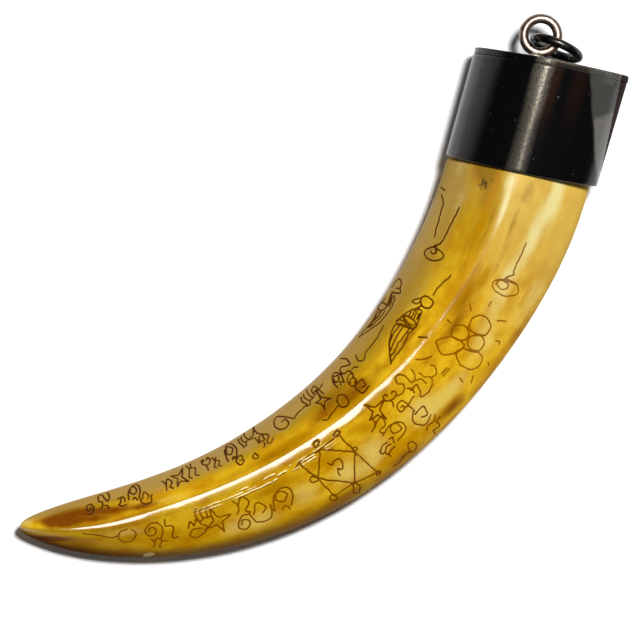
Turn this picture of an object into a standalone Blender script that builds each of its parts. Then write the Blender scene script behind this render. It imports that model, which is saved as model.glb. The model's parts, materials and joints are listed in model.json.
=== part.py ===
"""A carved boar tusk amulet, lying on its side.

The tusk is a curved tooth with a rounded three-sided section. Its root is set in a sheet metal sleeve.
An end plate closes the sleeve and carries a split bail ring, and a loose jump ring hangs in the bail.
X runs from the tusk's tip to the cap, Y to the tusk's hollow side, and Z is up.
The origin is on the ground, under the middle of the whole amulet.
"""

import math

import bmesh
import bpy
import numpy as np
from mathutils import Matrix, Vector

MM = 0.001

# The tusk, in rows from the tip to the end that shows. Distances are in millimetres, the heading in degrees:
# distance from the tip, heading seen from above, width, height, underside above the ground,
# and the ridge's place in the width, from 0 at the hollow edge to 1 at the outer edge.
TUSK_STATIONS = (
    (0.0, -42.5, 0.0, 0.0, 3.3, 0.57),
    (3.0, -41.2, 4.5, 3.5, 1.7, 0.56),
    (12.0, -36.9, 9.65, 7.0, 0.8, 0.52),
    (27.0, -26.7, 14.4, 10.0, 0.15, 0.41),
    (48.0, -9.3, 18.6, 12.3, 0.0, 0.40),
    (74.0, 11.4, 21.1, 13.7, 0.15, 0.44),
    (96.0, 25.2, 22.9, 14.3, 0.6, 0.47),
    (106.9, 35.2, 23.4, 14.5, 0.75, 0.48),
)
TUSK_ROUNDING = (0.21, 0.19, 0.075)  # hollow edge, outer edge and ridge, as shares of the width
TUSK_FACE_FLATNESS = 11.0
TUSK_RINGS = 44
TUSK_RING_CROWDING = 1.6  # rings stand closer towards the tip
TUSK_SIDES = 40

# The tusk's root, a narrower plug inside the sleeve
ROOT_INSET = 0.8
ROOT_LENGTH = 12.0

# The cap: a sleeve whose sides run a little askew to the way that its end plate faces
CAP_FACING = 38.1
MOUTH_TURN = -1.1  # the mouth faces this much away from the plate
CAP_SIDES_HEADING = 33.1
CAP_ASIDE = 0.4  # the sleeve's middle is this much further out than the tusk's, on the outer side
CAP_WIDTH_AT_MOUTH = 24.7
CAP_WIDTH_AT_PLATE = 25.1
CAP_HEIGHT_AT_MOUTH = 15.7
CAP_HEIGHT_AT_PLATE = 16.2
CAP_RIDGE_PLACE = 0.465
CAP_ROUNDING = (0.25, 0.24, 0.07)
CAP_FACE_FLATNESS = 18.0
CAP_SIDES = 44
CAP_LENGTH = 17.45
CAP_BASE_PRESSED = 0.12  # how far the round underside is pressed flat
MOUTH_LEAN = 1.25  # the mouth reaches this much further along the ridge than along the base
SLEEVE_WALL = 0.6
PLATE_THICKNESS = 0.85
SHEET_EDGE_BEVEL = 0.12

# The two rings
BAIL_MID_RADIUS = 2.72
BAIL_WIRE_RADIUS = 0.78
BAIL_SPLIT = 0.15
BAIL_FROM_PLATE = 3.78
BAIL_ASIDE = 2.6  # from the plate's middle towards the hollow side
BAIL_HEIGHT = 6.9
FOOT_RADIUS = 1.35
FOOT_TOP_RADIUS = 0.75
FOOT_REACH = 0.95
JUMP_MID_RADIUS = 3.84
JUMP_WIRE_RADIUS = 0.72
HANG_BEARING = -110.0  # where the jump ring hangs on the bail, from the cap's forward direction
JUMP_FACING = -102.0  # the way that the jump ring's plane runs
JUMP_LEAN = 10.0  # the jump ring leans this much towards the plate
JUMP_SWUNG = 12.0  # how far it has swung out along its own plane
WIRE_SIDES = 12
RING_STEPS = 40

# Clearances
SOLDER_GAP = 0.25
MOUTH_GAP = 0.3
HANG_GAP = 0.2

OUTLINE_STEPS = 720
SPINE_STEPS = 600
CORNER_SHARE = 0.5  # how far an outline's points crowd into its corners
SHARP_ANGLE = math.radians(35)


def remove_everything():
    for obj in list(bpy.data.objects):
        bpy.data.objects.remove(obj, do_unlink=True)


def finish_material(name, colour, metallic, roughness):
    material = bpy.data.materials.new(name)
    material.use_nodes = True
    shader = material.node_tree.nodes["Principled BSDF"]
    shader.inputs["Base Color"].default_value = (*colour, 1.0)
    shader.inputs["Metallic"].default_value = metallic
    shader.inputs["Roughness"].default_value = roughness
    return material


def holder(name, parent=None):
    empty = bpy.data.objects.new(name, None)
    empty.parent = parent
    bpy.context.scene.collection.objects.link(empty)
    return empty


def piece(name, bm, material, parent):
    """Makes an object of a finished bmesh, shaded smooth with sharp corners."""
    bmesh.ops.recalc_face_normals(bm, faces=bm.faces)
    mesh = bpy.data.meshes.new(name)
    bm.to_mesh(mesh)
    bm.free()
    mesh.materials.append(material)
    mesh.shade_smooth()
    mesh.set_sharp_from_angle(angle=SHARP_ANGLE)
    obj = bpy.data.objects.new(name, mesh)
    obj.parent = parent
    bpy.context.scene.collection.objects.link(obj)
    return obj


def smooth_curve(knots, values, at):
    """Reads a smooth cubic curve through the values at the knots, with slopes taken from the neighbours."""
    slopes = np.gradient(values, knots)
    i = np.clip(np.searchsorted(knots, at, side="right") - 1, 0, len(knots) - 2)
    step = knots[i + 1] - knots[i]
    t = (at - knots[i]) / step
    rise = t**2 * (3 - 2 * t)
    bend = t * (1 - t) ** 2 * slopes[i] - t**2 * (1 - t) * slopes[i + 1]
    return values[i] * (1 - rise) + values[i + 1] * rise + step * bend


def rounded_triangle(width, height, ridge_place, rounding, flatness, sides):
    """Outline of a triangle with round corners and slightly bulging faces, as (across, up) rows.

    It starts under the middle and goes round by the hollow edge, the ridge and the outer edge.
    Each corner is a circle, and the outline's reach in every direction is a power mean of theirs.
    """
    hollow, outer, ridge = rounding
    tall = height / width
    radii = np.array(rounding)[:, None]
    centres = np.array(
        [
            (0.5 - hollow, hollow),
            (outer - 0.5, outer),
            (0.5 - ridge_place, tall - ridge),
        ]
    )
    centres[:, 1] -= 0.4 * tall
    angles = np.linspace(-math.pi / 2, 1.5 * math.pi, OUTLINE_STEPS + 1)
    normal = np.stack([np.cos(angles), np.sin(angles)])
    along = np.stack([-np.sin(angles), np.cos(angles)])
    reaches = np.maximum(centres @ normal + radii, 0)
    reach = (reaches**flatness).sum(0) ** (1 / flatness)
    slope = (reaches ** (flatness - 1) * (centres @ along)).sum(0) / reach ** (flatness - 1)
    points = (reach * normal + slope * along).T
    low = points.min(0)
    size = points.max(0) - low
    points = (points - low) / size * (width, height) - (width / 2, 0)
    return spread_points(points, angles, sides)


def spread_points(points, angles, sides):
    """Picks the outline's points: half of them up to the ridge and half back down, denser in the corners."""
    half = len(points) // 2
    rows = []
    for first, last in ((0, half), (half, 2 * half)):
        stretch = points[first : last + 1]
        arc = np.r_[0, np.cumsum(np.linalg.norm(np.diff(stretch, axis=0), axis=1))]
        turn = angles[first : last + 1] - angles[first]
        measure = (1 - CORNER_SHARE) * arc / arc[-1] + CORNER_SHARE * turn / turn[-1]
        wanted = np.linspace(0, 1, sides // 2 + 1)[:-1]
        rows.append(np.stack([np.interp(wanted, measure, axis) for axis in stretch.T], axis=1))
    return np.concatenate(rows)


def inset(outline, distance):
    """Moves an outline's points inwards, each along its own normal."""
    along = np.roll(outline, -1, axis=0) - np.roll(outline, 1, axis=0)
    along /= np.linalg.norm(along, axis=1)[:, None]
    return outline + distance * np.stack([-along[:, 1], along[:, 0]], axis=1)


def bridge(bm, first, second):
    """Joins two rings of vertices by faces; a ring of one vertex is a point."""
    count = max(len(first), len(second))
    for i in range(count):
        j = (i + 1) % count
        if len(first) == 1:
            bm.faces.new((first[0], second[i], second[j]))
        else:
            bm.faces.new((first[i], first[j], second[j], second[i]))


def loft(rings):
    """Skins rings of points; returns the bmesh and its rings of vertices."""
    bm = bmesh.new()
    loops = [[bm.verts.new(Vector(p) * MM) for p in ring] for ring in rings]
    for first, second in zip(loops, loops[1:]):
        bridge(bm, first, second)
    return bm, loops


def place_outline(outline, middle, heading, underside, lean=0.0):
    """Stands an outline up across a heading, in millimetres. A lean moves its top back."""
    forward = np.array([math.cos(heading), math.sin(heading)])
    left = np.array([-forward[1], forward[0]])
    back = lean * outline[:, 1:] / outline[:, 1].max()
    flat = np.array(middle) + outline[:, :1] * left - back * forward
    return np.column_stack([flat, underside + outline[:, 1]])


def tusk_spine():
    """The tusk's middle line from above, from its tip at the origin: (distances, headings, points)."""
    table = np.array(TUSK_STATIONS)
    distance = np.linspace(0, table[-1, 0], SPINE_STEPS + 1)
    heading = np.radians(smooth_curve(np.sqrt(table[:, 0]), table[:, 1], np.sqrt(distance)))
    step = np.diff(distance)[:, None]
    middle = (heading[1:] + heading[:-1]) / 2
    moves = step * np.stack([np.cos(middle), np.sin(middle)], axis=1)
    return distance, heading, np.concatenate([[(0.0, 0.0)], np.cumsum(moves, axis=0)])


def tusk_ring(at, spine):
    """One ring of the tusk at a distance from its tip, and the same ring's middle and heading."""
    table = np.array(TUSK_STATIONS)
    distance, headings, points = spine
    _, width, height, underside, ridge_place = (
        smooth_curve(np.sqrt(table[:, 0]), column, math.sqrt(at)) for column in table[:, 1:].T
    )
    outline = rounded_triangle(width, height, ridge_place, TUSK_ROUNDING, TUSK_FACE_FLATNESS, TUSK_SIDES)
    middle = np.array([np.interp(at, distance, points[:, 0]), np.interp(at, distance, points[:, 1])])
    heading = np.interp(at, distance, headings)
    near_mouth = (at / table[-1, 0]) ** 8
    facing = heading + near_mouth * (math.radians(CAP_FACING + MOUTH_TURN) - headings[-1])
    lean = MOUTH_LEAN * near_mouth
    return outline, middle, facing, underside, lean


def build_tusk(material, parent):
    spine = tusk_spine()
    length = TUSK_STATIONS[-1][0]
    steps = (np.arange(1, TUSK_RINGS + 1) / TUSK_RINGS) ** TUSK_RING_CROWDING
    rings = [[(0.0, 0.0, TUSK_STATIONS[0][4])]]
    for at in steps * length:
        rings.append(place_outline(*tusk_ring(at, spine)))
    outline, middle, facing, underside, lean = tusk_ring(length, spine)
    root = inset(outline, ROOT_INSET)
    sides = math.radians(CAP_SIDES_HEADING)
    root_end = middle + ROOT_LENGTH * np.array([math.cos(sides), math.sin(sides)])
    rings.append(place_outline(root, middle, facing, underside, lean))
    rings.append(place_outline(root, root_end, facing, underside))
    bm, loops = loft(rings)
    bm.faces.new(loops[-1])
    return piece("tusk", bm, material, parent)


def cap_outline(width, height):
    outline = rounded_triangle(width, height, CAP_RIDGE_PLACE, CAP_ROUNDING, CAP_FACE_FLATNESS, CAP_SIDES)
    outline[:, 1] = np.maximum(outline[:, 1] - CAP_BASE_PRESSED, 0)
    return outline


def aside_at(forward):
    """How far the cap's middle line has moved sideways, a distance forward of the mouth."""
    return forward * math.tan(math.radians(CAP_SIDES_HEADING - CAP_FACING))


def bevel_edges(obj, width):
    bevel = obj.modifiers.new("worn edges", "BEVEL")
    bevel.width = width * MM
    bevel.segments = 1
    bevel.limit_method = "ANGLE"
    bevel.angle_limit = math.radians(50)


def build_sleeve(material, parent):
    """The sleeve, in the cap's own frame: X forward from the mouth, Y to the hollow side."""
    end = CAP_LENGTH - PLATE_THICKNESS - SOLDER_GAP
    share = end / CAP_LENGTH
    mouth = cap_outline(CAP_WIDTH_AT_MOUTH, CAP_HEIGHT_AT_MOUTH)
    plate = cap_outline(CAP_WIDTH_AT_PLATE, CAP_HEIGHT_AT_PLATE)
    far = mouth + share * (plate - mouth)
    rings = [
        place_outline(mouth, (0, 0), math.radians(MOUTH_TURN), 0.0, MOUTH_LEAN),
        place_outline(far, (end, aside_at(end)), 0.0, 0.0),
    ]
    bm, _ = loft(rings)
    sleeve = piece("cap_sleeve", bm, material, parent)
    wall = sleeve.modifiers.new("sheet", "SOLIDIFY")
    wall.thickness = SLEEVE_WALL * MM
    wall.offset = -1.0
    wall.use_even_offset = True
    bevel_edges(sleeve, SHEET_EDGE_BEVEL)
    return sleeve


def build_plate(material, parent):
    outline = cap_outline(CAP_WIDTH_AT_PLATE, CAP_HEIGHT_AT_PLATE)
    middle = aside_at(CAP_LENGTH)
    inner = place_outline(outline, (CAP_LENGTH - PLATE_THICKNESS, middle), 0.0, 0.0)
    bm = bmesh.new()
    face = bm.faces.new([bm.verts.new(Vector(p) * MM) for p in inner])
    grown = bmesh.ops.extrude_face_region(bm, geom=[face])["geom"]
    corners = [v for v in grown if isinstance(v, bmesh.types.BMVert)]
    bmesh.ops.translate(bm, verts=corners, vec=(PLATE_THICKNESS * MM, 0, 0))
    plate = piece("cap_plate", bm, material, parent)
    bevel_edges(plate, SHEET_EDGE_BEVEL)
    return plate


def wire_ring(mid_radius, wire_radius, opening=0.0):
    """A ring of round wire about Z. An opening, in radians, is left at -X."""
    bm = bmesh.new()
    turn = Matrix.Rotation(-math.pi + opening / 2, 4, "Z")
    place = Matrix.Translation((mid_radius * MM, 0, 0)) @ Matrix.Rotation(math.pi / 2, 4, "X")
    made = bmesh.ops.create_circle(
        bm, cap_ends=opening > 0, segments=WIRE_SIDES, radius=wire_radius * MM, matrix=turn @ place
    )
    around = {edge for vert in made["verts"] for edge in vert.link_edges}
    faces = list(bm.faces)
    bmesh.ops.spin(
        bm,
        geom=[*made["verts"], *around, *faces],
        axis=(0, 0, 1),
        angle=2 * math.pi - opening,
        steps=RING_STEPS,
        use_merge=opening == 0,
    )
    return bm


def build_bail(material, parent):
    """A split ring, joined by Boolean union to the low solder foot that it stands on."""
    bm = wire_ring(BAIL_MID_RADIUS, BAIL_WIRE_RADIUS, BAIL_SPLIT / BAIL_MID_RADIUS)
    bail = piece("bail_ring", bm, material, parent)
    bail.location = bail_place() * MM
    bm = bmesh.new()
    reach = FOOT_REACH - SOLDER_GAP
    middle = SOLDER_GAP + reach / 2 - BAIL_FROM_PLATE
    bmesh.ops.create_cone(
        bm,
        cap_ends=True,
        segments=2 * WIRE_SIDES,
        radius1=FOOT_RADIUS * MM,
        radius2=FOOT_TOP_RADIUS * MM,
        depth=reach * MM,
        matrix=Matrix.Translation((middle * MM, 0, 0)) @ Matrix.Rotation(math.pi / 2, 4, "Y"),
    )
    foot = piece("solder_foot", bm, material, bail)
    foot.hide_render = True
    foot.display_type = "WIRE"
    join = bail.modifiers.new("solder", "BOOLEAN")
    join.operation = "UNION"
    join.object = foot
    return bail


def bail_place():
    """The bail's middle in the cap's frame, in millimetres."""
    return Vector((CAP_LENGTH + BAIL_FROM_PLATE, aside_at(CAP_LENGTH) + BAIL_ASIDE, BAIL_HEIGHT))


def build_jump_ring(material, parent):
    """A closed ring about its own Y, with its origin on the bail's wire, on the axis that it swings about."""
    bm = wire_ring(JUMP_MID_RADIUS, JUMP_WIRE_RADIUS)
    drop = JUMP_MID_RADIUS - JUMP_WIRE_RADIUS - BAIL_WIRE_RADIUS - HANG_GAP
    stand = Matrix.Translation((0, 0, -drop * MM)) @ Matrix.Rotation(math.pi / 2, 4, "X")
    bmesh.ops.transform(bm, matrix=stand, verts=bm.verts)
    ring = piece("jump_ring", bm, material, parent)
    bearing = math.radians(HANG_BEARING)
    out = Vector((math.cos(bearing), math.sin(bearing), 0))
    ring.location = (bail_place() + BAIL_MID_RADIUS * out) * MM
    ring.rotation_mode = "YXZ"
    ring.rotation_euler = [math.radians(a) for a in (-JUMP_LEAN, -JUMP_SWUNG, JUMP_FACING)]
    return ring


def mouth_place():
    """The sleeve's mouth seen from above, in millimetres from the tusk's tip."""
    end = tusk_spine()[2][-1]
    facing = math.radians(CAP_FACING)
    forward = np.array([math.cos(facing), math.sin(facing)])
    outward = np.array([forward[1], -forward[0]])
    return end + MOUTH_GAP * forward + CAP_ASIDE * outward


def centre_over_origin(root):
    """Moves the whole so that the origin is on the ground under the middle of its box."""
    bpy.context.view_layer.update()
    graph = bpy.context.evaluated_depsgraph_get()
    corners = []
    for obj in bpy.context.scene.objects:
        if obj.type == "MESH" and not obj.hide_render:
            evaluated = obj.evaluated_get(graph)
            corners += [evaluated.matrix_world @ vert.co for vert in evaluated.data.vertices]
    corners = np.array(corners)
    low, high = corners.min(0), corners.max(0)
    root.location = (-(low[0] + high[0]) / 2, -(low[1] + high[1]) / 2, -low[2])


def main():
    remove_everything()
    tooth = finish_material("polished golden tusk", (0.66, 0.40, 0.07), 0.0, 0.2)
    blackened = finish_material("blackened sleeve metal", (0.035, 0.032, 0.032), 0.9, 0.32)
    worn = finish_material("worn plate metal", (0.085, 0.078, 0.074), 0.9, 0.38)
    bright_wire = finish_material("warm bright wire", (0.52, 0.42, 0.36), 1.0, 0.25)
    dark_wire = finish_material("dark polished wire", (0.03, 0.03, 0.032), 0.9, 0.22)
    amulet = holder("amulet")
    cap = holder("cap", amulet)
    cap.location = (*(mouth_place() * MM), 0)
    cap.rotation_euler = (0, 0, math.radians(CAP_FACING))
    build_tusk(tooth, amulet)
    build_sleeve(blackened, cap)
    build_plate(worn, cap)
    build_bail(bright_wire, cap)
    build_jump_ring(dark_wire, cap)
    centre_over_origin(amulet)


main()
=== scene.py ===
"""The finish of a carved boar tusk amulet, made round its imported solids.

The tusk is engraved, stained and lacquered. The cap gets its line of solder and its wear, and the two wire
rings are made round. Metres, with +X from the tip to the cap, +Y to the tusk's hollow side, +Z up.
"""

import json
import math

import bpy
import numpy as np
from mathutils import Euler, Matrix, Vector
from mathutils.bvhtree import BVHTree
from mathutils.kdtree import KDTree

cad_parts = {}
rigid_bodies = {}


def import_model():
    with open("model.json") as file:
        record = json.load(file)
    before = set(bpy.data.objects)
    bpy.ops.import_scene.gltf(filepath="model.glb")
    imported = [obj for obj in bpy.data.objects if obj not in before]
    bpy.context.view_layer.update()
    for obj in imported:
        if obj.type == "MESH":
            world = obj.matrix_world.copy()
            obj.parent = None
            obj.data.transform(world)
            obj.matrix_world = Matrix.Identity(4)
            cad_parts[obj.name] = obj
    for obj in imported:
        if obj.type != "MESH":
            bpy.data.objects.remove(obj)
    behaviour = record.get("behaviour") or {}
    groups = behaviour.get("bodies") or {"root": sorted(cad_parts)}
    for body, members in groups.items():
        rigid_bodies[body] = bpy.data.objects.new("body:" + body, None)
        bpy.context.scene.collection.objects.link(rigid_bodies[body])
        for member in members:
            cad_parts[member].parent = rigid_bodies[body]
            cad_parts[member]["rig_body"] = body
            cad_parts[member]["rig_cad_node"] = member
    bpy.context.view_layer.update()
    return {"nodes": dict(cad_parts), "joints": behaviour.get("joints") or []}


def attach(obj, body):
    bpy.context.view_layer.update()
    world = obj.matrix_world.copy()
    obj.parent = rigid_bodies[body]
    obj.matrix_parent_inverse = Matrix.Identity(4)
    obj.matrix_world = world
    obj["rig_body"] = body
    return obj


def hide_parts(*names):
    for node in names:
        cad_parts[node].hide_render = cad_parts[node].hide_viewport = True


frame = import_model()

MM = 0.001

# The tusk bends round a point beside its hollow side. Places on it are given in millimetres:
# along the bend from the tip, and aside of the bend, towards the hollow side.
BEND_CENTRE = (-5.94, 64.85)
BEND_RADIUS = 76.0
TIP_BEARING = math.radians(-45.52)
UPPER_SIDE = 4.0  # the two engraved faces and the ridge lie higher than this
SPARE_ROWS = 5  # rows a millimetre long, kept free before the tip

# The ridge: how far aside it runs, and how deep it is worn flat, at places along
RIDGE_LINE = (
    (0, 3, 8, 15, 23, 33, 43, 54, 67, 81, 95, 110),
    (-0.2, -0.3, -0.2, 0.1, 0.9, 1.3, 1.4, 1.35, 1.3, 1.2, 0.5, 0.4),
)
RIDGE_WEAR = ((2, 8, 16, 28, 60, 72, 84, 110), (0.02, 0.08, 0.15, 0.28, 0.34, 0.1, 0.03, 0.03))
RIDGE_FLATNESS = 34.0  # the radius that the wear leaves across the ridge
RIDGE_REACH = 1.6  # the wear goes this far to each side of it
RIDGE_WORN_FROM = 3.0  # and starts this far from the tip
FAR_FROM_RIDGE = 9.0  # stands for any place on the underside
# Each scratch also gets a painted highlight: a bright line for the glint of the lamp in it
SCRATCHES_AND_GLINTS = (-1.15, -1.6, -2.05)  # long scratches beside the ridge, by how far aside of it they run

# The photograph's view, in millimetres: straight down, and turned
VIEW_MIDDLE = (-2.18, 4.9)
VIEW_HEIGHT = 885.0
VIEW_TURN = math.radians(-41.0)
VIEW_WIDTH = 102.4
VIEW_LEVEL = 5.0  # the height at which the view is that wide
SENSOR = 36.0
LAMP_LEVEL = 1.38  # a white surface lying flat gives back this much, where 1 is white on the screen

# The engraver's tool
GROOVE_HALF_WIDTH = 0.18
GROOVE_DEPTH = 0.07
GROOVE_STEP = 0.05
WELL_OUTSIDE = -3.0  # stands for a place away from the grooves, where 1 is a groove's middle and 0 its edge
HAND_SEED = 12  # for the random draws
BEND_STEPS = 12  # the points of a bent stroke from one of its places to the next
WOBBLE = 0.05  # how far the hand strays, and after how many steps it turns
WOBBLE_SPELL = 12
PRESSURE = (0.55, 1.0)  # how hard a stroke is pressed, at least and at most
PRESSURE_CHANGE = 0.18  # and how much that changes on the way, every so many steps
PRESSURE_SPELL = 14
GROOVE_CLEARANCE = (("VERT", 0.62), ("FACE", 0.3))  # how close to a groove the surface is refined, twice
GROOVE_SURROUNDINGS = 0.9  # the new points this close to a groove are drawn to the smooth surface

# The cap, in its own frame: X forward from the mouth, Y to the hollow side
CAP_PLACE = (38.165, 2.115)
CAP_FACING = math.radians(38.1)
CAP_LENGTH = 17.45
CAP_RIDGE = 0.85  # how far towards the hollow side the ridge starts
CAP_SLANT = 0.0875  # how much nearer to the outer side it runs for each millimetre forward
SHEET_EDGE = math.radians(25)  # edges sharper than this stay crisp
SOLDER_GAP = 0.24
PLATE_BACK = 0.2  # what is this near to the plate's inner side is drawn up to the sleeve
BAIL_PLACE = (21.23, 1.073, 6.9)
BAIL_MID_RADIUS = 2.72
BAIL_WIRE_RADIUS = 0.78
BAIL_SPLIT = 0.15
FOOT_STAND = 0.3  # how far the solder's middle stands off the plate
FOOT_SIZE = (0.75, 1.35, 1.1)
JUMP_MID_RADIUS = 3.84
JUMP_WIRE_RADIUS = 0.72
JUMP_DROP = 2.14  # from the point where it hangs to its middle
JUMP_TURN = [math.radians(angle) for angle in (-10.0, -12.0, -63.9)]  # about X, Y and Z
WIRE_SIDES = 32
RING_STEPS = 96

FLOOR_SIZE = 3.0  # in metres
FLOOR_DROP = 0.00002  # the floor lies this much under the amulet, in metres too


class Link:
    """A socket in a material's nodes. Arithmetic on it adds Math nodes."""

    def __init__(self, recipe, socket):
        self.recipe = recipe
        self.socket = socket

    def maths(self, operation, *values):
        return self.recipe.node("Math", {"operation": operation}, dict(enumerate(values)))

    def __add__(self, other):
        return self.maths("ADD", self, other)

    def __radd__(self, other):
        return self.maths("ADD", other, self)

    def __sub__(self, other):
        return self.maths("SUBTRACT", self, other)

    def __rsub__(self, other):
        return self.maths("SUBTRACT", other, self)

    def __mul__(self, other):
        return self.maths("MULTIPLY", self, other)

    def __rmul__(self, other):
        return self.maths("MULTIPLY", other, self)

    def __abs__(self):
        return self.maths("ABSOLUTE", self)


class Recipe:
    """A material, and the nodes that feed its Principled shader."""

    def __init__(self, name):
        self.material = bpy.data.materials.new(name)
        self.material.use_nodes = True
        self.tree = self.material.node_tree
        self.shader = self.tree.nodes["Principled BSDF"]

    def node(self, kind, settings=None, inputs=None, output=0):
        """Adds a node: first its settings, then the values or links of its sockets."""
        made = self.tree.nodes.new("ShaderNode" + kind)
        for name, value in (settings or {}).items():
            setattr(made, name, value)
        for name, value in (inputs or {}).items():
            self.feed(made.inputs[name], value)
        return Link(self, made.outputs[output])

    def feed(self, socket, value):
        if isinstance(value, Link):
            self.tree.links.new(value.socket, socket)
        elif socket.type == "RGBA":
            socket.default_value = (*value, 1.0)
        else:
            socket.default_value = value

    def finish(self, **sockets):
        for name, value in sockets.items():
            self.feed(self.shader.inputs[name.replace("_", " ")], value)
        return self.material

    def matte_where(self, share, colour):
        """Where share is 1 the surface has lost its shine, and shows only this colour."""
        sockets = {"Base Color": colour, "Roughness": 1.0, "Specular IOR Level": 0.0}
        matte = self.node("BsdfPrincipled", None, sockets)
        shiny = Link(self, self.shader.outputs[0])
        both = self.node("MixShader", None, {0: share, 1: shiny, 2: matte})
        self.tree.links.new(both.socket, self.tree.nodes["Material Output"].inputs["Surface"])

    def attributes(self, *names):
        return [self.node("Attribute", {"attribute_name": name}, output="Fac") for name in names]

    def place(self):
        """Object coordinates in millimetres, as three links."""
        place = self.node("TexCoord", output="Object")
        axes = self.node("SeparateXYZ", None, {0: place}).socket.node.outputs
        return [Link(self, axis) * (1 / MM) for axis in axes]

    def noise(self, place, fineness, detail, roughness, distortion=0.0):
        """Clouds over a place, finer along an axis where its number is larger."""
        axes = (axis * fine for axis, fine in zip(place, fineness))
        vector = self.node("CombineXYZ", None, dict(enumerate(axes)))
        sockets = {"Vector": vector, "Scale": 1.0, "Detail": detail, "Roughness": roughness}
        sockets["Distortion"] = distortion
        return self.node("TexNoise", None, sockets, "Fac")

    def step(self, value, low, high):
        """0 below low and 1 above high, smooth between."""
        settings = {"interpolation_type": "SMOOTHSTEP"}
        return self.node("MapRange", settings, {"Value": value, "From Min": low, "From Max": high})

    def mix(self, share, first, second):
        """The first colour at share 0, the second at 1."""
        node = self.node("Mix", {"data_type": "RGBA"}).socket.node
        colours = [socket for socket in node.inputs if socket.type == "RGBA"]
        for socket, value in zip((node.inputs[0], *colours), (share, first, second)):
            self.feed(socket, value)
        return Link(self, [socket for socket in node.outputs if socket.type == "RGBA"][0])

    def layers(self, colour, *coats):
        """Lays paints over a colour, one after the other, each with the share that it covers."""
        for share, over in coats:
            colour = self.mix(share, colour, over)
        return colour

    def bump(self, height, depth, below=None):
        """Relief as deep as this in millimetres, laid over the relief below it."""
        sockets = {"Height": height, "Distance": depth * MM}
        if below:
            sockets["Normal"] = below
        return self.node("Bump", None, sockets)


def paint(red, green, blue):
    """The share of light that a surface gives back, from how it looks under the key lamp, 0 to 255."""
    shares = [value / 255 for value in (red, green, blue)]
    return tuple((s / 12.92 if s < 0.04045 else ((s + 0.055) / 1.055) ** 2.4) / LAMP_LEVEL for s in shares)


def shaded(colour, factor):
    """A paint made darker or lighter."""
    return [share * factor for share in colour]


def only(piece):
    """Selects one object and makes it active."""
    bpy.ops.object.select_all(action="DESELECT")
    piece.select_set(True)
    bpy.context.view_layer.objects.active = piece


def open_mesh(piece, kind):
    """Goes into edit mode, where points, edges or faces are picked, with none of them selected."""
    only(piece)
    bpy.ops.object.mode_set(mode="EDIT")
    bpy.ops.mesh.select_mode(type=kind)
    bpy.ops.mesh.select_all(action="DESELECT")


def close_mesh():
    bpy.ops.object.mode_set(mode="OBJECT")


def choose(piece, kind, chosen, mode=None):
    """Goes into edit mode with only the chosen points, edges or faces selected."""
    open_mesh(piece, mode or kind)
    close_mesh()
    mesh = piece.data
    parts = {"VERT": mesh.vertices, "EDGE": mesh.edges, "FACE": mesh.polygons}[kind]
    parts.foreach_set("select", np.array(chosen))
    bpy.ops.object.mode_set(mode="EDIT")


def settle(piece):
    """Puts a piece's place, turn and size into its mesh."""
    only(piece)
    bpy.ops.object.transform_apply(location=True, rotation=True, scale=True)


def named(name):
    """Names the object just made, and its mesh."""
    piece = bpy.context.view_layer.objects.active
    piece.name = name
    piece.data.name = name
    return piece


def apply_modifier(piece, kind, **settings):
    only(piece)
    bpy.ops.object.modifier_add(type=kind)
    modifier = piece.modifiers[-1]
    for name, value in settings.items():
        setattr(modifier, name, value)
    bpy.ops.object.modifier_apply(modifier=modifier.name)


def round_off(piece):
    """Smooths a piece with two rounds of subdivision."""
    apply_modifier(piece, "SUBSURF", levels=2, render_levels=2)


def copy_of_solid(node, name):
    """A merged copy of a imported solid, in quads where its triangles pair up."""
    only(frame["nodes"][node])
    bpy.ops.object.duplicate()
    piece = named(name)
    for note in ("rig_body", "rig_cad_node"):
        del piece[note]
    bpy.ops.object.mode_set(mode="EDIT")
    bpy.ops.mesh.select_all(action="SELECT")
    bpy.ops.mesh.remove_doubles(threshold=1e-7)
    bpy.ops.mesh.tris_convert_to_quads(face_threshold=math.pi, shape_threshold=math.pi)
    bpy.ops.mesh.normals_make_consistent(inside=False)
    close_mesh()
    return piece


def dress(piece, body, node, material):
    """Gives a finished piece its material and its body, and hides the solid that it stands for."""
    piece.data.materials.clear()
    piece.data.materials.append(material)
    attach(piece, body)
    if node:
        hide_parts(node)


def read_places(mesh):
    """A mesh's points as rows of x, y and z in millimetres."""
    places = np.empty(len(mesh.vertices) * 3, np.float32)
    mesh.vertices.foreach_get("co", places)
    return places.reshape(-1, 3).astype(float) / MM


def add_attribute(mesh, name, values):
    attribute = mesh.attributes.new(name, "FLOAT", "POINT")
    attribute.data.foreach_set("value", np.asarray(values, np.float32))


def hand_unevenness(piece, size, height, depth=1):
    """The slight waviness that filing and polishing by hand leave, in millimetres."""
    waves = bpy.data.textures.new("hand polish", "CLOUDS")
    waves.noise_scale = size * MM
    waves.noise_depth = depth
    apply_modifier(piece, "DISPLACE", texture=waves, strength=height * MM, mid_level=0.5)


# Places on the bend


def on_bend(along, aside):
    """The places (x, y), in millimetres, of points given along and aside of the bend."""
    bearing = TIP_BEARING + np.asarray(along) / BEND_RADIUS
    reach = BEND_RADIUS - np.asarray(aside)
    x = BEND_CENTRE[0] + reach * np.sin(bearing)
    return np.stack([x, BEND_CENTRE[1] - reach * np.cos(bearing)], axis=-1)


def along_and_aside(places):
    """Where places (x, y) lie along and aside of the bend."""
    x, y = places[:, 0] - BEND_CENTRE[0], BEND_CENTRE[1] - places[:, 1]
    return (np.arctan2(x, y) - TIP_BEARING) * BEND_RADIUS, BEND_RADIUS - np.hypot(x, y)


def rows_along(along):
    """The number of the row, a millimetre long, that each place lies in."""
    return np.round(along).astype(int) + SPARE_ROWS


# The engraving. A stroke is a row of places, along and aside, that the needle passes.


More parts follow.
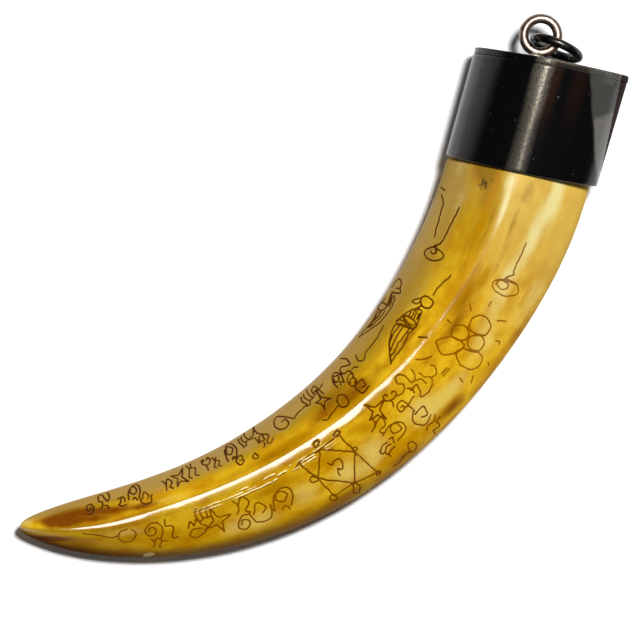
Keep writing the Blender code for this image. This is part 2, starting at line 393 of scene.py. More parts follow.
def spread(points, step):
    """Reads a row of places anew, evenly spaced."""
    points = np.asarray(points, float)
    arc = np.r_[0, np.cumsum(np.hypot(*np.diff(points, axis=0).T))]
    wanted = np.linspace(0, arc[-1], max(2, int(arc[-1] / step) + 1))
    return np.stack([np.interp(wanted, arc, axis) for axis in points.T], axis=1)


def bent(*points, closed=False):
    """A stroke that bends smoothly through its places."""
    rows = np.array(points, float)
    if closed:
        rows = np.vstack([rows[-1], rows, rows[:2]])
    else:
        rows = np.vstack([2 * rows[0] - rows[1], rows, 2 * rows[-1] - rows[-2]])
    t = np.linspace(0, 1, BEND_STEPS, endpoint=False)[:, None]
    parts = []
    for a, b, c, d in zip(rows, rows[1:], rows[2:], rows[3:]):
        square = a - 2.5 * b + 2 * c - d / 2
        cube = (3 * b - a - 3 * c + d) / 2
        parts.append(b + t * (c - a) / 2 + t**2 * square + t**3 * cube)
    return np.vstack([*parts, rows[-2]])


def straight(*points):
    return np.array(points, float)


def ring(along, aside, radius, waviness=0.06):
    """A small hand-drawn circle, not quite round."""
    turn = np.linspace(0, 2 * math.pi, 32)
    reach = radius * (1 + waviness * (np.sin(2 * turn + along) + np.sin(3 * turn + aside)))
    return np.stack([along + reach * np.cos(turn), aside + reach * np.sin(turn)], axis=1)


def flower():
    """Five petals in a bunch on the outer face, with short dashes round them."""
    dashes = [
        ((83.7, -1.2), (82.9, -1.9)),
        ((84.9, -4.0), (85.8, -4.1)),
        ((79.7, 0.4), (79.6, -0.3)),
        ((83.8, -6.4), (84.4, -7.6)),
        ((81.2, -7.9), (81.4, -8.5), (81.0, -8.7)),
        ((78.1, -8.9), (77.7, -9.4)),
        ((75.2, -8.3), (74.3, -8.8)),
        ((73.8, -6.8), (73.5, -7.6)),
        ((71.6, 0.5), (72.4, -0.4), (73.6, -1.1)),
        ((74.8, 2.5), (75.5, 1.3)),
        ((72.5, -4.2), (73.8, -4.2)),
        ((72.4, -4.6), (73.8, -4.5)),
    ]
    petals = [
        ((80.9, -3.0), (82.2, -2.9), (83.2, -3.8), (83.2, -5.1),
         (82.5, -6.1), (81.1, -6.0), (80.5, -5.0), (80.4, -3.7)),
        ((78.4, -1.4), (79.4, -1.1), (80.2, -1.8), (80.4, -2.8),
         (79.8, -3.7), (78.8, -3.8), (78.1, -2.8), (77.9, -1.9)),
        ((78.8, -4.2), (79.7, -4.2), (80.3, -5.0), (80.6, -5.9),
         (80.0, -6.7), (78.9, -6.7), (78.2, -5.8), (78.2, -4.8)),
        ((75.7, -0.3), (76.7, -0.6), (77.8, -1.6), (78.2, -3.0),
         (78.0, -4.1), (76.9, -4.2), (75.6, -3.2), (74.9, -1.9)),
        ((76.2, -3.9), (77.4, -4.2), (77.9, -5.6), (78.3, -6.9),
         (77.9, -7.9), (76.6, -8.0), (75.6, -7.2), (75.4, -5.5)),
    ]
    return [straight(*dash) for dash in dashes] + [bent(*petal, closed=True) for petal in petals]


def star():
    """A square with a roof on each side, loops at its corners and a curl in its middle."""
    corners = [(50.7, -0.1), (54.8, -3.6), (52.0, -7.7), (47.9, -3.8)]
    tips = [(54.4, 0.3), (55.6, -8.5), (48.6, -7.6), (46.6, -0.1)]
    loops = ((50.6, 1.0, 0.5), (47.3, -3.7, 0.55), (48.3, -7.8, 0.5), (55.7, -8.7, 0.3), (55.1, -3.3, 0.3))
    curl = ((50.4, -2.6), (50.8, -3.2), (51.4, -2.8), (52.2, -3.1))
    curl += ((52.3, -4.0), (51.8, -4.7), (51.2, -4.3))
    strokes = []
    for i, tip in enumerate(tips):
        here, there = corners[i], corners[(i + 1) % 4]
        strokes += [straight(here, there), straight(here, tip, there)]
    strokes += [ring(along, aside, radius, waviness=0.12) for along, aside, radius in loops]
    return strokes + [
        bent((52.0, -7.7), (52.4, -8.6), (51.8, -9.4), (51.2, -8.9), closed=True),
        straight((54.1, 0.0), (54.9, 0.3), (54.6, 0.9), (53.7, 0.6), (54.1, 0.0)),
        straight((45.9, -0.6), (47.2, 0.3)),
        bent(*curl),
        bent((51.2, -4.3), (50.9, -4.9), (50.9, -5.5)),
    ]


def near_figure():
    """A small standing figure beside the ridge, its head towards the cap."""
    waist = ((75.8, 6.5), (74.7, 6.7), (74.3, 6.3), (74.5, 5.6), (74.8, 4.8))
    waist += ((75.2, 4.0), (75.9, 3.8), (76.4, 4.6), (76.3, 5.8))
    return [
        ring(80.2, 4.7, 1.0),
        bent((79.6, 5.6), (78.9, 6.0), (78.8, 6.6), (79.5, 6.4), (80.1, 5.8)),
        straight((79.3, 5.1), (78.5, 5.3)),
        bent((78.5, 5.3), (77.2, 6.2), (76.0, 6.5), (74.7, 6.7)),
        bent((78.5, 5.3), (78.3, 4.5), (77.0, 4.1), (76.3, 3.9)),
        straight((77.8, 5.9), (76.3, 5.7)),
        straight((78.1, 5.4), (76.6, 5.2)),
        straight((78.2, 5.0), (76.8, 4.8)),
        bent(*waist, closed=True),
        bent((75.8, 6.5), (75.5, 5.4), (75.2, 4.0)),
        bent((74.1, 6.5), (72.6, 6.3), (71.1, 5.6), (69.8, 4.5), (68.4, 3.1)),
        bent((75.3, 3.9), (73.8, 4.0), (71.6, 3.4), (70.0, 3.3), (68.4, 3.1)),
        bent((74.3, 5.4), (72.2, 5.2), (70.2, 4.5)),
        bent((74.8, 4.4), (71.9, 4.3), (69.3, 3.8)),
        bent((74.0, 5.9), (72.0, 5.8), (70.3, 5.0)),
        bent((77.9, 4.7), (76.9, 4.4)),
        straight((75.0, 6.5), (75.7, 4.2)),
        straight((74.6, 6.2), (75.1, 4.4)),
    ]


def far_figure():
    """A second figure, half round the hollow edge."""
    return [
        bent((78.8, 10.5), (80.2, 10.6), (81.0, 10.3), (80.6, 9.7), (79.7, 9.4), (79.3, 9.9)),
        bent((79.7, 9.4), (79.0, 8.9), (78.5, 9.4), (78.1, 10.2)),
        straight((77.9, 10.0), (75.7, 9.5)),
        straight((78.0, 9.6), (75.8, 9.1)),
        bent((77.8, 9.1), (76.4, 8.8), (75.4, 8.7)),
        bent((74.3, 10.3), (75.0, 10.5), (75.6, 10.3), (75.7, 9.6), (75.1, 9.4), (74.4, 9.8), closed=True),
        straight((76.6, 10.4), (74.6, 10.4)),
        bent((73.9, 10.2), (72.1, 9.8), (69.6, 9.7), (68.1, 9.6)),
        bent((75.4, 8.7), (72.8, 8.6), (70.5, 9.1), (68.1, 9.6)),
        bent((74.4, 9.6), (72.6, 9.5), (70.6, 9.5)),
        straight((77.8, 9.8), (75.8, 9.3)),
        bent((73.8, 9.9), (72.0, 9.6), (70.2, 9.6)),
        bent((74.6, 9.2), (72.9, 9.1), (70.8, 9.3)),
    ]


def snails():
    """Two spirals with a flick and a long tail, one on each face near the cap."""
    outer = ((89.8, -6.0), (89.6, -4.4), (89.0, -3.2), (88.2, -2.7), (87.5, -3.4))
    outer += ((87.4, -4.8), (87.9, -6.4), (88.8, -7.1), (89.6, -6.6), (89.9, -5.8))
    inner = ((89.1, 7.7), (88.9, 8.4), (88.1, 9.0), (87.3, 9.0), (86.8, 8.1))
    inner += ((87.1, 6.9), (88.2, 6.2), (88.9, 6.7), (89.1, 7.7))
    return [
        bent(*outer),
        bent((88.4, -3.3), (89.2, -3.7), (89.3, -4.8), (88.6, -5.2), (88.1, -4.4), (88.4, -3.3)),
        straight((89.8, -6.2), (89.9, -4.2), (91.0, -5.3), (91.2, -4.9), (96.0, -4.9)),
        bent(*inner),
        bent((88.2, 8.2), (87.9, 7.8), (88.4, 7.4), (88.8, 7.8)),
        straight((89.1, 7.7), (89.4, 8.1), (90.0, 7.5), (90.8, 7.4), (97.3, 7.1)),
        bent((98.4, 10.3), (96.9, 9.7), (92.6, 9.1), (90.7, 8.7)),
        straight((99.7, 10.9), (99.3, 10.1)),
        bent((86.2, 3.7), (83.9, 4.3), (81.8, 4.5)),
    ]


def loops_with_tails():
    """The loops, each with a tail, that stand between the other marks."""
    curled = ((48.5, 7.4), (47.4, 7.9), (46.3, 7.3), (46.5, 6.2))
    curled += ((47.6, 5.7), (48.6, 6.1), (48.4, 6.9), (47.7, 6.8))
    by_tip = ((17.3, -1.1), (16.4, -1.2), (15.8, -2.1), (16.5, -3.1))
    by_tip += ((17.9, -2.9), (18.5, -1.9), (17.9, -1.1))
    return [
        bent((57.6, 4.6), (58.5, 4.9), (59.1, 4.4), (59.1, 3.5), (58.3, 3.0), (57.5, 3.4), closed=True),
        bent((57.5, 3.8), (55.4, 3.5), (54.5, 3.1), (53.7, 3.5)),
        bent((61.6, -8.1), (62.3, -8.3), (62.4, -9.1), (61.7, -9.6), (61.1, -9.2), closed=True),
        bent((61.2, -9.1), (59.8, -9.2), (58.7, -9.4), (57.9, -9.3)),
        bent(*curled),
        straight((48.6, 7.2), (49.8, 6.3), (50.5, 6.6), (52.8, 6.9)),
        bent((72.5, 7.9), (69.4, 7.3), (66.8, 7.1), (65.8, 6.5), (65.0, 7.0), (65.3, 7.9)),
        bent(*by_tip),
        bent((15.7, -1.9), (14.6, -2.1), (13.2, -1.6), (10.2, -1.0)),
    ]


def mark_shapes():
    """The small invented marks, each in a square of side 1: its strokes as rows of (across, up)."""
    curl = ((0.1, 0.0), (0.6, 0.05), (0.95, 0.5), (0.6, 0.95))
    curl += ((0.15, 0.7), (0.25, 0.35), (0.6, 0.4), (0.55, 0.65))
    pretzel = ((0.0, 0.1), (0.1, 0.7), (0.45, 0.95), (0.75, 0.7), (0.5, 0.4))
    pretzel += ((0.2, 0.6), (0.4, 1.0), (0.85, 1.0), (1.0, 0.6), (0.8, 0.1))
    vine = ((0.0, 0.0), (0.3, 0.12), (0.35, 0.42), (0.1, 0.55), (0.1, 0.85))
    vine += ((0.4, 0.9), (0.6, 0.62), (0.8, 0.4), (1.0, 0.65), (0.9, 1.0))
    shell = ((1.0, 1.0), (0.5, 1.0), (0.1, 0.6), (0.25, 0.1))
    shell += ((0.75, 0.15), (0.85, 0.6), (0.5, 0.72), (0.3, 0.45))
    return {
        "curl": [bent(*curl)],
        "pretzel": [bent(*pretzel), bent((0.35, 0.05), (0.5, 0.2), (0.7, -0.05))],
        "fish": [
            bent((1.0, 0.95), (0.6, 0.5), (0.2, 0.15), (0.0, 0.45), (0.25, 0.8), (0.6, 0.5), (0.95, 0.1)),
            bent((0.2, 0.4), (0.32, 0.52), (0.34, 0.38)),
        ],
        "hooks": [
            bent((0.1, 1.0), (0.3, 0.6), (0.12, 0.1), (0.35, -0.08)),
            bent((0.5, 1.05), (0.48, 0.72), (0.82, 0.6), (0.68, 0.1), (0.95, 0.0)),
        ],
        "boat": [
            bent((0.0, 0.65), (0.2, 0.1), (0.8, 0.05), (1.0, 0.6)),
            bent((0.2, 0.5), (0.45, 0.95), (0.8, 0.6), (0.55, 0.4)),
        ],
        "web": [
            straight((0.0, 0.9), (0.35, 0.5), (0.1, 0.1), (0.5, 0.28), (0.9, 0.0)),
            straight((0.9, 0.0), (0.68, 0.5), (1.0, 0.95), (0.5, 0.68), (0.0, 0.9)),
        ],
        "sprig": [
            bent((0.5, -0.1), (0.46, 0.4), (0.1, 0.55), (0.05, 0.9), (0.3, 0.95), (0.3, 0.75)),
            bent((0.46, 0.4), (0.8, 0.5), (1.0, 0.8), (0.8, 1.0), (0.65, 0.8)),
        ],
        "peaks": [
            bent((0.0, 0.65), (0.2, 1.0), (0.35, 0.7), (0.58, 1.05), (0.75, 0.65)),
            bent((0.75, 0.65), (1.0, 0.45), (0.8, 0.15), (0.3, 0.0), (0.0, 0.25), (0.3, 0.5), (0.7, 0.42)),
        ],
        "comb": [
            bent((0.0, 0.15), (0.3, 0.0), (0.6, 0.15), (1.0, 0.05)),
            bent((0.15, 0.1), (0.1, 0.6), (0.3, 0.9)),
            bent((0.5, 0.1), (0.45, 0.6), (0.65, 0.85)),
            bent((0.85, 0.08), (0.85, 0.5), (1.0, 0.8)),
        ],
        "kink": [
            bent((0.1, 0.05), (0.3, 0.5), (0.05, 0.95)),
            bent((0.3, 0.5), (0.65, 0.95), (0.95, 0.5), (0.6, 0.1), (0.85, -0.1)),
        ],
        "vine": [bent(*vine), bent((0.5, 0.2), (0.7, 0.1), (0.75, -0.1))],
        "shell": [bent(*shell)],
        "fork": [
            bent((0.5, 0.0), (0.55, 0.45), (0.2, 0.6), (0.0, 0.95)),
            bent((0.53, 0.45), (0.9, 0.55), (0.95, 0.95), (0.75, 1.1)),
        ],
        "ripple": [
            bent((0.0, 0.3), (0.2, 0.7), (0.45, 0.4), (0.65, 0.1), (0.95, 0.4), (1.1, 0.8)),
            bent((0.1, 0.9), (0.4, 1.05), (0.7, 0.85)),
        ],
    }


# Where the small marks stand: shape, middle along and aside, size, and turn in degrees
MARKS = (
    # On the hollow face, from the tip
    ("curl", 11.6, 2.8, 1.6, 10),
    ("vine", 14, 3.9, 2.2, 10),
    ("ripple", 16.9, 3.4, 1.5, -60),
    ("pretzel", 19.3, 4.5, 2.2, 0),
    ("boat", 21.2, 3.4, 2, 10),
    ("kink", 25.3, 4.8, 1.7, 10),
    ("web", 27.5, 5.2, 2.4, 15),
    ("hooks", 29.9, 5.7, 2, 0),
    ("sprig", 32.6, 6, 1.7, 0),
    ("hooks", 34.4, 5.7, 1.5, -10),
    ("pretzel", 37.3, 6.2, 2.4, 10),
    ("boat", 38.3, 4.7, 1.6, -40),
    ("comb", 40.1, 7.2, 1.8, 30),
    ("web", 42.5, 6.9, 2.2, 40),
    ("vine", 43.8, 5.6, 1.9, -70),
    ("comb", 53.6, 7.8, 2.2, 20),
    ("fish", 56.1, 7.8, 2, -30),
    ("web", 55.6, 6, 2.3, -60),
    ("vine", 62.6, 7.4, 2.7, 30),
    ("pretzel", 60, 7, 2, 10),
    ("shell", 61.7, 5.4, 1.8, 0),
    ("boat", 62.4, 3.9, 2.2, -60),
    # On the outer face
    ("shell", 20.9, -1.9, 2.1, 0),
    ("hooks", 23.4, -2.3, 3.2, 0),
    ("kink", 21.4, -4, 1.6, 0),
    ("peaks", 28, -3.3, 2.8, 0),
    ("comb", 29.2, -1.2, 2.3, 0),
    ("web", 31.2, -3.2, 3.6, 60),
    ("kink", 35.6, -2.1, 2.7, 0),
    ("boat", 37.9, -4.3, 3.5, 0),
    ("shell", 34.9, -5, 2.2, 0),
    ("pretzel", 41.7, -4.1, 3.3, -10),
    ("fork", 71, -3, 2.8, -30),
    ("vine", 67.9, -0.7, 3.4, -30),
    ("sprig", 64.4, -0.9, 2.2, -20),
    ("fish", 65.4, -3.3, 2.8, -40),
    ("ripple", 68.7, -3.2, 2.8, -60),
    ("boat", 65.9, -6.2, 3, -60),
    ("hooks", 66.4, -8.8, 2.3, -80),
    ("web", 61.4, -0.7, 3.2, -30),
    ("kink", 60.2, -2.6, 2.5, -40),
    ("pretzel", 61.4, -5.2, 3, -60),
    ("comb", 58.9, -6.4, 2, -60),
)


def small_marks():
    """The rows of small marks, and one dot."""
    shapes = mark_shapes()
    strokes = [ring(40.9, 4.1, 0.42)]
    for mark, along, aside, size, turn in MARKS:
        cos, sin = math.cos(math.radians(turn)), math.sin(math.radians(turn))
        turned = size * np.array([(cos, sin), (-sin, cos)])
        for stroke in shapes[mark]:
            strokes.append((along, aside) + (stroke - 0.5) @ turned)
    return strokes


def all_strokes():
    groups = (flower(), star(), near_figure(), far_figure(), snails(), loops_with_tails(), small_marks())
    return [stroke for group in groups for stroke in group]


def hand_wobble(count, rng):
    """How far a hand strays from the stroke it means, step by step."""
    knots = np.arange(0, count + WOBBLE_SPELL, WOBBLE_SPELL)
    steps = np.arange(count)
    strays = [np.interp(steps, knots, rng.normal(0, WOBBLE, len(knots))) for _ in range(2)]
    return np.stack(strays, axis=1)


def lay_on_tusk(strokes, surface):
    """The strokes' points on the tusk's upper side, and how hard the needle is pressed at each."""
    rng = np.random.default_rng(HAND_SEED)
    points, pressures = [], []
    for stroke in strokes:
        pressure = rng.uniform(*PRESSURE)
        row = spread(stroke, GROOVE_STEP)
        row = row + hand_wobble(len(row), rng)
        knots = np.arange(0, len(row) + PRESSURE_SPELL, PRESSURE_SPELL)
        changes = rng.uniform(-PRESSURE_CHANGE, PRESSURE_CHANGE, len(knots))
        changes = np.interp(np.arange(len(row)), knots, changes)
        for place, change in zip(on_bend(*row.T) * MM, changes):
            hit = surface.ray_cast(Vector((*place, 1.0)), Vector((0, 0, -1)))[0]
            if hit:
                points.append(hit)
                pressures.append(pressure + change)
    return points, pressures


def distances_to(tree, mesh):
    """Each point's distance to the nearest groove, in millimetres, and the number of the groove's point."""
    _, numbers, distances = zip(*(tree.find(vert.co) for vert in mesh.vertices))
    return np.array(distances) / MM, np.array(numbers)


def refine_near(tusk, tree, mode, clearance):
    """Splits the faces near a groove in four. In mode VERT the faces that they surround are split too."""
    far, _ = distances_to(tree, tusk.data)
    near = [min(far[v] for v in face.vertices) < clearance for face in tusk.data.polygons]
    choose(tusk, "FACE", near, mode)
    bpy.ops.mesh.select_mode(type="FACE")
    bpy.ops.mesh.subdivide(number_cuts=1, ngon=False, quadcorner="INNERVERT")
    close_mesh()


def engrave(tusk, surface):
    """Presses the strokes in, and notes how far into a groove each point is and how hard it is pressed."""
    points, pressures = lay_on_tusk(all_strokes(), surface)
    tree = KDTree(len(points))
    for i, point in enumerate(points):
        tree.insert(point, i)
    tree.balance()
    for mode, clearance in GROOVE_CLEARANCE:
        refine_near(tusk, tree, mode, clearance)
    mesh = tusk.data
    far, nearest = distances_to(tree, mesh)
    inside = 1 - (far / GROOVE_HALF_WIDTH) ** 2
    pressure = np.array(pressures)[nearest]
    for vert in mesh.vertices:
        if far[vert.index] < GROOVE_SURROUNDINGS:
            vert.co = surface.find_nearest(vert.co)[0]
    normals = {v.index: v.normal.copy() for v in mesh.vertices if inside[v.index] > 0}
    for index, normal in normals.items():
        mesh.vertices[index].co -= normal * (GROOVE_DEPTH * MM * inside[index] * pressure[index])
    add_attribute(mesh, "groove", np.maximum(inside, WELL_OUTSIDE))
    add_attribute(mesh, "pressure", pressure)


# The tusk


# The stains, dabbed on: how far along and aside a dab lies, its length, its width and its strength
PALE = (
    (104.5, -6.9, 7, 1.5, 1.5),
    (97, -5.5, 7, 1.4, 1.3),
    (104.2, 1, 3.6, 1.1, 1),
    (54.5, -6.9, 4, 1.4, 0.7),
    (66.5, -7.2, 4, 1.3, 0.6),
    (90.5, -4.4, 5, 1.5, 0.9),
    (78.5, 6.6, 5, 1.2, 0.5),
    (18.5, -1.6, 4, 1, 0.5),
    (99.5, 0.5, 5.5, 0.7, 1.2),
    (89.3, -9.4, 8, 1.8, 0.6),
    (85, -5, 6, 2, 0.9),
    (80, -6.4, 4, 2.4, 0.9),
    (72, -7, 5, 1.8, 1),
    (66.5, -5.2, 4.5, 2.4, 1),
    (57.2, -5.2, 3.6, 2.8, 1.1),
    (51.8, -5.4, 3.2, 2.6, 1),
    (45, -5, 3.4, 2.6, 0.9),
    (38, -5.6, 3.6, 2, 0.9),
    (33.6, -5, 3.2, 2, 0.9),
    (24.6, 2.4, 6, 0.7, 0.5),
    (19.5, 3, 3.5, 0.8, 0.35),
    (15.6, -1.4, 5, 1.2, 0.5),
    (1, 0.9, 1.4, 1.6, 0.9),
    (104.4, 8.8, 3, 1.2, 0.7),
    (98, 7.4, 5, 1.2, 0.7),
)
BROWN = (
    (6.5, 0.9, 5, 1.4, 1.5),
    (13.5, 2.4, 6.5, 1.2, 1.1),
    (5, -1.8, 6, 0.8, 1.3),
    (7, 2.6, 5, 1.1, 0.9),
    (20.5, 2.2, 5, 0.7, 0.7),
    (67, 3.6, 5, 1.5, 0.5),
    (60.5, 3.8, 6, 1.7, 0.8),
    (53.5, 4, 4, 1.3, 0.5),
    (73.5, 3.6, 4, 1.3, 0.6),
    (53.5, -0.9, 4, 1.5, 0.4),
    (79, -1.2, 5, 1.3, 0.7),
    (12.5, 1.2, 5, 0.7, 0.7),
    (24.5, -0.9, 4, 0.9, 0.4),
    (57, 5.6, 7, 1.8, 0.9),
    (45, 2.9, 7, 1, 0.5),
    (70.4, -8.9, 4, 1.3, 0.8),
    (84.2, -10.3, 3.5, 1, 0.5),
    (59.9, -9.1, 4, 1.2, 0.5),
    (83.5, 0, 6, 1.6, 0.5),
    (89.5, 0.2, 6, 1.4, 0.2),
    (90, -2.2, 5, 1.2, 0.4),
    (97.4, 1.7, 7, 0.5, 0.5),
    (92, 3.4, 7, 1, 0.4),
    (103.5, -2.6, 3.4, 1.3, 0.8),
    (97.5, -1.8, 5, 0.9, 0.7),
    (72, -0.8, 4, 1.4, 0.35),
)
OCHRE = (
    (102.2, 3, 3.4, 1.1, 1.6),
    (96.5, 2.9, 7, 0.9, 1.3),
    (104.4, 6.2, 3, 1.3, 1.5),
    (88.5, -1.2, 5, 1.4, 0.6),
    (84, 0.6, 6, 2.2, 1),
    (75, 1.8, 6, 1.2, 0.6),
    (69, -8.6, 4, 1.4, 0.9),
    (60, 2.8, 7, 1.4, 1),
    (46, 3, 10, 1.6, 1),
    (33, 2.6, 8, 1.2, 0.4),
    (41, -1.8, 5, 1.2, 0.9),
    (48.5, -8.8, 6, 1.2, 1.1),
)
OLIVE = (
    (104.8, 4.9, 3, 2.6, 1.7),
    (100.4, 4, 4, 1.6, 0.7),
)
DARK_SPOT = (
    (102.4, 4.7, 1.7, 1, 1.5),
    (103.2, 3.8, 1.2, 0.9, 0.7),
)
CHIP = ((19.8, -5.7, 1.5, 0.55, 1.6),)
STAINS = {"pale": PALE, "brown": BROWN, "ochre": OCHRE, "olive": OLIVE, "dark_spot": DARK_SPOT, "chip": CHIP}


def dabs(along, aside, spots):
    """How much stain the dabs leave at each place."""
    total = np.zeros(len(along))
    for middle, side, length, width, strength in spots:
        reach = ((along - middle) / length) ** 2 + ((aside - side) / width) ** 2
        total += strength * np.exp(-2 * reach)
    return total


def stain_tusk(mesh):
    """Notes where each point lies on the tusk, and how strong each stain is there."""
    places = read_places(mesh)
    along, aside = along_and_aside(places)
    rows = rows_along(along)
    low, high = np.full(rows.max() + 1, np.inf), np.full(rows.max() + 1, -np.inf)
    np.minimum.at(low, rows, aside)
    np.maximum.at(high, rows, aside)
    known = np.flatnonzero(np.isfinite(low))
    low = np.interp(along + SPARE_ROWS, known, low[known])
    high = np.interp(along + SPARE_ROWS, known, high[known])
    off_ridge = aside - np.interp(along, *RIDGE_LINE)
    notes = {
        "along": along,
        "aside": aside,
        "off_ridge": np.where(places[:, 2] > UPPER_SIDE, off_ridge, FAR_FROM_RIDGE),
        # From 0 at the hollow edge to 1 at the outer edge
        "across": (high - aside) / np.maximum(high - low, 0.5),
    }
    for name, spots in STAINS.items():
        notes[name] = dabs(along, aside, spots)
    for name, values in notes.items():
        add_attribute(mesh, name, values)


def tusk_material():
    recipe = Recipe("stained lacquered tusk")
    step, noise, mix = recipe.step, recipe.noise, recipe.mix
    along, aside, across, off_ridge = recipe.attributes("along", "aside", "across", "off_ridge")
    groove, pressure = recipe.attributes("groove", "pressure")
    pale, brown, ochre, olive, dark_spot, chip = recipe.attributes(*STAINS)
    _, _, height = recipe.place()
    place = (along, aside, height)
    streaks = noise(place, (0.04, 0.7, 0.7), 4.0, 0.6)
    clouds = noise(place, (0.13, 0.2, 0.2), 4.0, 0.55, 0.3)
    blots = noise(place, (0.35, 0.5, 0.5), 3.0, 0.6)
    grain = noise(place, (0.35, 4.0, 4.0), 3.0, 0.6)
    wear_spots = noise(place, (1.2, 1.7, 0.4), 3.0, 0.65)
    wear = noise(place, (1.3, 2.6, 2.6), 4.0, 0.65)
    fine_wear = noise(place, (3.0, 5.0, 5.0), 3.0, 0.6)

    # The stain: gold, with ochre, cream and brown in it, and its own golds near the root
    root_share = step(along + (clouds - 0.5) * 20, 78.0, 98.0)
    drift = clouds - 0.5 + (streaks - 0.5) * (0.1 + root_share * 0.7)
    drift = drift + (blots - 0.5) * (0.55 + root_share * 0.5)
    root = mix(step(across, 0.4, 0.52), paint(194, 150, 24), paint(222, 184, 84))
    cream = mix(root_share, paint(244, 210, 104), paint(240, 224, 150))
    colour = recipe.layers(
        paint(208, 146, 0),
        (step(drift, -0.22, 0.22), paint(248, 198, 30)),
        (root_share * 0.8, root),
        (step(ochre + drift * 0.8, 0.2, 0.85), paint(196, 140, 0)),
        (step(pale + drift * 0.7, 0.05, 1.35), cream),
        (step(brown + drift * -0.7, 0.1, 1.1) * 0.9, paint(122, 50, 0)),
    )

    # The edges and the tip are darker, as painted shade. Then come the grain, the spots by the cap and the
    # chip.
    # Along the hollow edge: painted shade where the side turns away, greyer towards the root as a painted
    # reflection
    hollow_edge = step(0.2 - across + (clouds - 0.5) * 0.16, -0.07, 0.07)
    edge_shade_and_reflection = mix(step(along, 70.0, 100.0), paint(174, 134, 18), paint(176, 146, 72))
    # Low on the outer side: a painted shade that darkens towards the lower edge; by the tip it is partly
    # brown stain and partly painted shade
    low_tip_stain_and_shade = step(across + (blots - 0.5) * 0.3, 0.62, 1.0) * step(24.0 - along, 0.0, 16.0)
    outer_edge_shade = step(across + (clouds - 0.5) * 0.1, 0.84, 0.97) * step(75.0 - along, 0.0, 40.0)
    colour = recipe.layers(
        colour,
        (hollow_edge * (0.9 - root_share * 0.3), edge_shade_and_reflection),
        (low_tip_stain_and_shade * 0.9, paint(112, 48, 0)),
        (outer_edge_shade * 0.85, paint(104, 58, 8)),
        (step(grain, 0.5, 0.8) * (0.08 + root_share * 0.06), paint(150, 96, 20)),
        (step(olive + (blots - 0.5) * 0.9, 0.1, 1.3) * 0.85, paint(146, 106, 0)),
        (step(dark_spot + (wear_spots - 0.5) * 3.0, 0.5, 1.5) * 0.85, paint(74, 44, 8)),
        (step(chip, 0.7, 0.95) * 0.8, paint(206, 190, 130)),
    )

    # The ink in the grooves, which is fainter on parts of the outer face
    ink = step(groove, -0.1, 0.45)
    faint = step(44.0 - along, 0.0, 3.0) + step(11.0 - abs(along - 79.0), -2.0, 3.0)
    outer_ink = mix(faint, paint(120, 66, 0), paint(148, 88, 0))
    ink_colour = mix(step(across, 0.35, 0.55), paint(86, 42, 0), outer_ink)
    colour = mix(ink * (0.66 + 0.34 * pressure), colour, ink_colour)

    # The scratches: a painted highlight along each, a bright line for the lamp's glint in it, with a brown
    # line beside it
    scratched = step(14.0 - abs(along - 41.0), 0.0, 6.0)
    scratches = 0.0
    for middle in SCRATCHES_AND_GLINTS:
        breaks_at = noise((along, off_ridge, middle), (0.5, 0.8, 9.0), 2.0, 0.5)
        breaks = step(breaks_at, 0.47, 0.56) * scratched
        away = middle - off_ridge + (breaks_at - 0.5) * 0.6
        scratches = scratches + (step(away, -0.18, 0.16) - step(away, 0.16, 0.26)) * breaks
        # Painted highlight: the near-white line stands in for the glint of the lamp in the scratch
        colour = recipe.layers(
            colour,
            (step(0.13 - abs(away), 0.0, 0.1) * breaks, (0.98, 0.84, 0.4)),
            (step(0.09 - abs(away - 0.24), 0.0, 0.06) * breaks * 0.7, paint(150, 84, 8)),
        )

    # The lacquer is rougher near the root. The worn ridge shines most, and the low outer side is dull.
    rough_share = step(along + (clouds - 0.5) * 24, 60.0, 76.0)
    edges = step(across, 0.88, 0.97) + step(0.12 - across, 0.0, 0.08)
    roughness = 0.12 + rough_share * 0.1 + grain * 0.04 + edges * 0.3 + step(along, 95.0, 102.0) * 0.3
    half_width = 0.4 + (0.7 + (wear - 0.5) * 0.8) * step(along, 3.0, 18.0)
    polished = step(half_width - abs(off_ridge + 0.1), 0.0, 0.35) * (1 - rough_share)
    thin = step(0.4 - abs(off_ridge + 0.05) + (fine_wear - 0.5) * 1.6, 0.0, 0.3) * rough_share
    thin = thin * step(97.0 - along, 0.0, 8.0)
    dull = step(across, 0.55, 0.85) * (0.75 + 0.2 * step(30.0 - along, 0.0, 20.0))
    recipe.matte_where(ink * 0.9 + dull * (1 - ink), colour)
    bump = recipe.bump(scratches, 0.13)
    return recipe.finish(
        Base_Color=colour,
        Roughness=roughness,
        Normal=recipe.bump(wear * 0.1 + fine_wear * rough_share * 0.5, 0.05, bump),
        IOR=1.46,
        Coat_Weight=polished + thin * 0.7,
        Coat_Roughness=0.06,
        Coat_IOR=2.8,
    )


def wear_ridge(tusk):
    """Takes the top off the ridge, and then rubs the new edges round."""
    mesh = tusk.data
    places = read_places(mesh)
    along, aside = along_and_aside(places)
    off_ridge = aside - np.interp(along, *RIDGE_LINE)
    near = (np.abs(off_ridge) < RIDGE_REACH) & (places[:, 2] > UPPER_SIDE)
    rows = rows_along(along)
    tops = np.zeros(rows.max() + 1)
    np.maximum.at(tops, rows[near], places[near, 2])
    known = np.flatnonzero(tops)
    evened = np.convolve(np.pad(tops[known], 2, "edge"), np.ones(5) / 5, "valid")
    top = np.interp(along + SPARE_ROWS, known, evened)
    worn = top - np.interp(along, *RIDGE_WEAR) - off_ridge**2 / (2 * RIDGE_FLATNESS)
    cut = near & (places[:, 2] > worn) & (along > RIDGE_WORN_FROM)
    for i in np.flatnonzero(cut):
        mesh.vertices[i].co.z = worn[i] * MM
    choose(tusk, "VERT", near)
    bpy.ops.mesh.vertices_smooth(factor=0.5, repeat=3)
    close_mesh()


